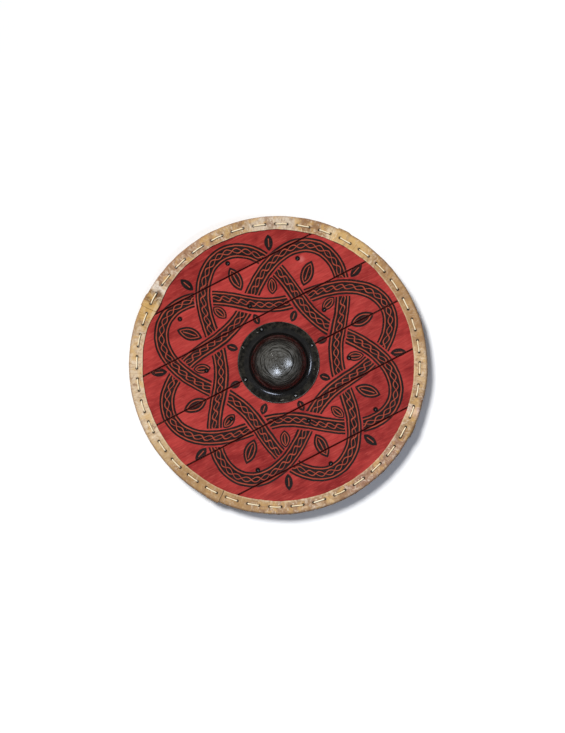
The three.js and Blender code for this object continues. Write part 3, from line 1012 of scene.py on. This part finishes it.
def hide_strip(strip, material):
    start = strip_start(strip)
    end = strip_end(strip)
    angles = np.linspace(start, end, int((end - start) * SHIELD_RADIUS / HIDE_STEP))
    circle = np.stack([np.cos(angles), np.sin(angles)], axis=-1)
    along = circle * SHIELD_RADIUS
    front_wave = (ripple(along, 40 * MM, 110 + strip) * 0.6 + ripple(along, 12 * MM, 120 + strip) * 0.2) * MM
    back_wave = ripple(along, 24 * MM, 130 + strip) * 1.6 * MM
    bulge = np.exp(-(((np.degrees(angles) - BULGE_ANGLE) / BULGE_SPREAD) ** 2)) * BULGE_SIZE
    edges = zip(FLAP_RADIUS - front_wave - bulge, FLAP_RADIUS + back_wave)
    radius, level, out_r, out_z = np.moveaxis([hide_path(front, back) for front, back in edges], -1, 0)
    rows, samples = radius.shape
    angle = angles[:, None]
    lift = lift_at(strip, angle)

    surface = np.stack([radius * np.cos(angle), radius * np.sin(angle), level], axis=-1)
    wrinkle = ripple(surface, 15 * MM, 150 + strip) * 0.16 + ripple(surface, 6 * MM, 160 + strip) * 0.09
    rim_wave = ripple(surface, 45 * MM, 170 + strip) * 0.4 * np.abs(out_r)
    on_front = out_z > 0.5
    on_back = out_z < -0.5
    press = on_front * stitch_press(radius, angle, True) + on_back * stitch_press(radius, angle, False)
    edge_curl = on_front * np.exp(-(radius - radius[:, :1]) / (2.5 * MM))
    curl = edge_curl * (0.12 + 0.2 * ripple(surface, 30 * MM, 180 + strip))
    outer_push = (wrinkle + rim_wave - press + curl) * MM

    def shell(depth, push):
        out = push + lift - depth
        r = radius + out_r * out
        return np.stack([r * np.cos(angle), r * np.sin(angle), level + out_z * out], axis=-1)

    outer = shell(0, outer_push)
    inner = shell(HIDE_THICKNESS, np.maximum(outer_push, -0.2 * MM))
    edge_lines = (outer + inner) / 2
    edge_lines[..., :2] -= circle[:, None] * LIP_SIZE
    points = np.concatenate([outer, edge_lines[:, -1:], inner[:, ::-1], edge_lines[:, :1]], axis=1)
    columns = points.shape[1]
    cap = strip_cap(samples)
    far_cap = moved_on(cap, (rows - 1) * columns)
    faces = turned_over(sheet_faces(rows, columns, True)) + cap + turned_over(far_cap)
    made = piece(points, faces, [material], f"rawhide_strip_{strip + 1}")
    add_attribute(made, "shift", 0.17 + 0.23 * strip)
    margin = HOLE_MARGIN / LACE_RADIUS
    onward = [(a - start) % TURN for a in HOLE_ANGLES]
    near = [p for p, a in zip(HOLE_PLACES, onward) if margin < a < end - start - margin]
    drill(made, near, HOLE_RADIUS, PLANK_BOTTOM - 8 * MM, PLANK_TOP + 8 * MM)


# Lacing: one thong in a running stitch, pressed into the hide, with a stop knot at each end
LACE_SIDES = 10
LACE_SPACING = 1.1 * MM
LACE_CORNER = 2 * MM
LACE_PRESS = 0.2 * MM
LACE_TWIST = 14 * MM
KNOT_REACH = 3.6 * MM
KNOT_SWELL = 0.95


def strip_of(stitch):
    return (stitch - first_of_strip(0)) // STITCHES_PER_STRIP


def lifted(strip, start, end):
    return max(lift_at(strip, start), lift_at(strip, end)) if start < strip_end(strip) else 0


def back_level(stitch):
    """The level of the thong's pass along the back after a stitch."""
    strip = strip_of(stitch)
    start = stitch_centre(stitch) + HALF_STITCH
    stop = min(stitch_centre(stitch + 1) - HALF_STITCH, strip_end(strip))
    return PLANK_BOTTOM - FULL_LIFT - LACE_THIN + LACE_PRESS - lifted(strip, start, stop)


def lace_bend(at, radius, low, high, side):
    """The way up through a hole from the back, or down through it where the side is -1."""
    turn = side * LACE_CORNER / LACE_RADIUS
    steps = [
        (-turn, low),
        (-0.3 * turn, low + 0.3 * LACE_CORNER),
        (0, low + LACE_CORNER),
        (0, high - 0.8 * LACE_CORNER),
        (0.3 * turn, high - 0.18 * LACE_CORNER),
        (turn, high),
    ]
    return [(at + along, radius, level) for along, level in steps[::side]]


def lace_route():
    """Points of the thong, corner by corner."""
    random = np.random.default_rng(5)
    dive = HALF_STITCH - 1.2 * MM / LACE_RADIUS
    top = PLANK_TOP + FULL_LIFT + LACE_THIN - LACE_PRESS
    cut = stitch_centre(-0.5)
    gap = LACE_END_GAP / LACE_RADIUS / 2
    route = [(cut + gap, LACE_RADIUS, back_level(-1))]
    for i in range(STITCH_COUNT):
        start = stitch_centre(i) - dive
        stop = stitch_centre(i) + dive
        height = top + lifted(strip_of(i), start, stop)
        first_radius, last_radius = LACE_RADIUS + random.uniform(-0.35, 0.35, 2) * MM
        belly = random.uniform(-0.4, 0.4) * MM
        middle_radius = (first_radius + last_radius) / 2 + belly
        route += lace_bend(start, first_radius, back_level(i - 1), height, 1)
        route.append(((start + stop) / 2, middle_radius, height + 0.05 * MM))
        route += lace_bend(stop, last_radius, back_level(i), height, -1)
    route.append((cut - gap + TURN, LACE_RADIUS, back_level(-1)))
    return np.array([(r * math.cos(a), r * math.sin(a), z) for a, r, z in route])


def smooth_path(points, spacing):
    """The points on a smooth curve through these, evenly apart, and how far along each is."""
    padded = np.vstack([2 * points[0] - points[1], points, 2 * points[-1] - points[-2]])
    fine = []
    for a, b, c, d in zip(padded, padded[1:], padded[2:], padded[3:]):
        for t in np.linspace(0, 1, 8, endpoint=False):
            square = 2 * a - 5 * b + 4 * c - d
            cube = 3 * b - a - 3 * c + d
            fine.append(0.5 * (2 * b + (c - a) * t + square * t * t + cube * t**3))
    fine = np.array(fine + [points[-1]])
    run = np.concatenate([[0], np.cumsum(np.linalg.norm(np.diff(fine, axis=0), axis=1))])
    marks = np.linspace(0, run[-1], int(run[-1] / spacing))
    return np.stack([np.interp(marks, run, fine[:, k]) for k in range(3)], axis=-1), marks


def unit(vectors):
    return vectors / np.linalg.norm(vectors, axis=1)[:, None]


def lacing(material):
    path, marks = smooth_path(lace_route(), LACE_SPACING)
    out = unit(path * [1, 1, 0])
    up = unit(np.cross(out, unit(np.gradient(path, axis=0))))
    turns = np.linspace(0, TURN, LACE_SIDES, endpoint=False)
    from_end = np.minimum(marks, marks[-1] - marks)
    knot = KNOT_SWELL * np.exp(-(((from_end - KNOT_REACH) / (0.6 * KNOT_REACH)) ** 2))
    path[:, 2] -= knot * LACE_THIN
    wide = LACE_THICK * (1 + knot + 0.08 * ripple(marks[:, None], 8 * MM, 21))[:, None] * np.cos(turns)
    thin = LACE_THIN * (1 + knot + 0.08 * ripple(marks[:, None], 6 * MM, 22))[:, None] * np.sin(turns)
    points = path[:, None] + out[:, None] * wide[..., None] + up[:, None] * thin[..., None]
    made = piece(points, tube_faces(len(path), LACE_SIDES), [material], "lacing")
    add_attribute(made, "twist", marks[:, None] / LACE_TWIST * TURN + turns * 2)


# Stage: a pale floor, soft studio light and the camera of the photograph
PHOTO_SIZE = (565, 733)
SHIELD_PIXEL = (278.3, 365.4)
SHIELD_PIXEL_RADIUS = 149.5
PLANK_TILT = math.radians(27.3)
PHOTO_RIGHT = Vector((math.cos(PLANK_TILT), -math.sin(PLANK_TILT), 0))
PHOTO_UP = Vector((math.sin(PLANK_TILT), math.cos(PLANK_TILT), 0))
CAMERA_LENS = 85
SENSOR = 36
CAMERA_REACH = 50
KEY_PLACE = (-0.96, 1.08, 1.83)
KEY_POWER = 3.75
KEY_SPREAD = math.radians(17)
LAMP_PLACES = {"right": (1.27, -0.17, 2.1), "low": (-0.33, -1.25, 2.1)}
LAMP_SIZE = 0.5
LAMP_POWER = 6
LAMP_COLOR = (0.69, 0.79, 1)
ROOM_LIGHT = 0.12
FLOOR_SIZE = 80
FLOOR_GAP = 0.2 * MM
COVE_RADIUS = 40
COVE_CURVE = 32
COVE_HEIGHT = 34
COVE_TURNS = 96


def camera():
    data = bpy.data.cameras.new("camera")
    data.lens = CAMERA_LENS
    data.sensor_width = SENSOR
    data.sensor_fit = "AUTO"
    data.clip_end = CAMERA_REACH
    made = new_object("camera", data)
    pixel = SHIELD_RADIUS / SHIELD_PIXEL_RADIUS
    aim = PHOTO_RIGHT * (PHOTO_SIZE[0] / 2 - SHIELD_PIXEL[0]) * pixel
    aim += PHOTO_UP * (SHIELD_PIXEL[1] - PHOTO_SIZE[1] / 2) * pixel
    distance = PHOTO_SIZE[1] * pixel * CAMERA_LENS / SENSOR
    made.location = aim + Vector((0, 0, distance + PLANK_TOP))
    made.rotation_euler = (0, 0, -PLANK_TILT)
    bpy.context.scene.camera = made


def add_light(name, kind, place, power):
    """A light that looks at the middle of the shield from a place given in the photograph's axes."""
    made = new_object(name, bpy.data.lights.new(name, kind))
    made.location = PHOTO_RIGHT * place[0] + PHOTO_UP * place[1] + Vector((0, 0, place[2]))
    made.rotation_euler = (-made.location).to_track_quat("-Z", "Y").to_euler()
    made.data.energy = power
    return made


def lights():
    key = add_light("key", "SUN", KEY_PLACE, KEY_POWER)
    key.data.angle = KEY_SPREAD
    key.visible_glossy = False
    for name, place in LAMP_PLACES.items():
        lamp = add_light(name, "AREA", place, LAMP_POWER)
        lamp.data.shape = "DISK"
        lamp.data.size = LAMP_SIZE
        lamp.data.color = LAMP_COLOR


def backdrop(material):
    """A far pale cove that rises from the floor. It lights nothing and shows only from low angles."""
    path = arc((COVE_RADIUS - COVE_CURVE, COVE_CURVE), (COVE_CURVE, COVE_CURVE), -90, 0, 17)
    path.append((COVE_RADIUS, COVE_HEIGHT))
    points = lathe(path, COVE_TURNS)[-1]
    points[..., 2] -= 2 * FLOOR_GAP
    faces = turned_over(sheet_faces(len(path), COVE_TURNS, True))
    made = new_mesh("backdrop", points, faces, [material])
    made.visible_glossy = False
    made.visible_diffuse = False
    made.visible_shadow = False


def floor():
    graph = Graph("floor")
    tone = graph.noise(graph.position()[0], 0.002, 2)
    pale = graph.blend(tone.ramp(0.3, 0.7), (0.9, 0.9, 0.9, 1), (0.92, 0.92, 0.92, 1))
    material = graph.finish(pale, 0.8)
    bpy.ops.mesh.primitive_plane_add(size=FLOOR_SIZE, location=(0, 0, -FLOOR_GAP))
    made = bpy.context.object
    made.name = "floor"
    made.data.materials.append(material)
    made.visible_glossy = False
    backdrop(material)


def studio():
    scene = bpy.context.scene
    scene.view_settings.view_transform = "Standard"
    scene.view_settings.look = "None"
    world = bpy.data.worlds.new("studio")
    scene.world = world
    world.use_nodes = True
    background = world.node_tree.nodes["Background"]
    background.inputs["Color"].default_value = (1, 1, 1, 1)
    background.inputs["Strength"].default_value = ROOM_LIGHT
    lights()


camera()
studio()
floor()

paint = painted_planks()
plank_back = bare_wood("plank_back", (204, 170, 124), (178, 136, 90), False)
batten_wood = bare_wood("batten_wood", (192, 152, 104), (164, 122, 78), True)
for index in range(PLANK_COUNT):
    plank(index, [paint, plank_back])
for name in BATTEN_SHIFTS:
    batten(name, batten_wood)
boss(blackened_steel())
iron = nail_black()
for names, first_seed, glint_size, glint_strength in NAIL_KINDS:
    for index, name in enumerate(names):
        nail(name, iron, first_seed + index, glint_size, glint_strength)
hide = dried_hide()
for strip in range(HIDE_STRIPS):
    hide_strip(strip, hide)
lacing(rawhide_lace())

bpy.context.view_layer.update()
